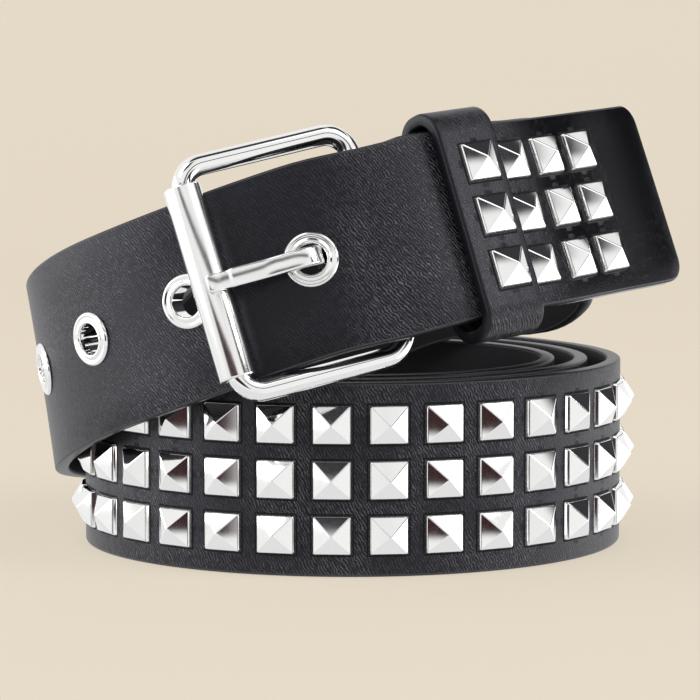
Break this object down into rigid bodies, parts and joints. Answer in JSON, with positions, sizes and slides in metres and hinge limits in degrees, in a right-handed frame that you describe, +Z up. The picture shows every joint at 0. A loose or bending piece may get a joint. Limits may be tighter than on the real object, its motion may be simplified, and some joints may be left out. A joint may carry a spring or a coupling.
{
  "type": "studded belt",
  "caption": "Leather waist belt with pyramid studs and eyelets, fastened with a roller buckle and laid down in a coil.",
  "frame": {"origin": "on the surface that the belt lies on, under the middle of its bounding box", "axes": "+X along the longest extent, towards the strap's free end; +Z up, the shortest extent; the buckle faces -Y"},
  "size_m": [0.1358, 0.1242, 0.0913],
  "materials": {
    "strap_leather": "black grained synthetic leather, satin",
    "nickel_plate": "polished nickel plate"
  },
  "bodies": {
    "root": {"strap": "strap_leather", "keeper_loop": "strap_leather", "buckle_frame": "nickel_plate", "roller": "nickel_plate", "prong": "nickel_plate", "eyelet_1": "nickel_plate", "eyelet_2": "nickel_plate", "eyelet_3": "nickel_plate", "eyelet_4": "nickel_plate", "eyelet_5": "nickel_plate", "eyelet_6": "nickel_plate", "eyelet_7": "nickel_plate"}
  },
  "joints": []
}
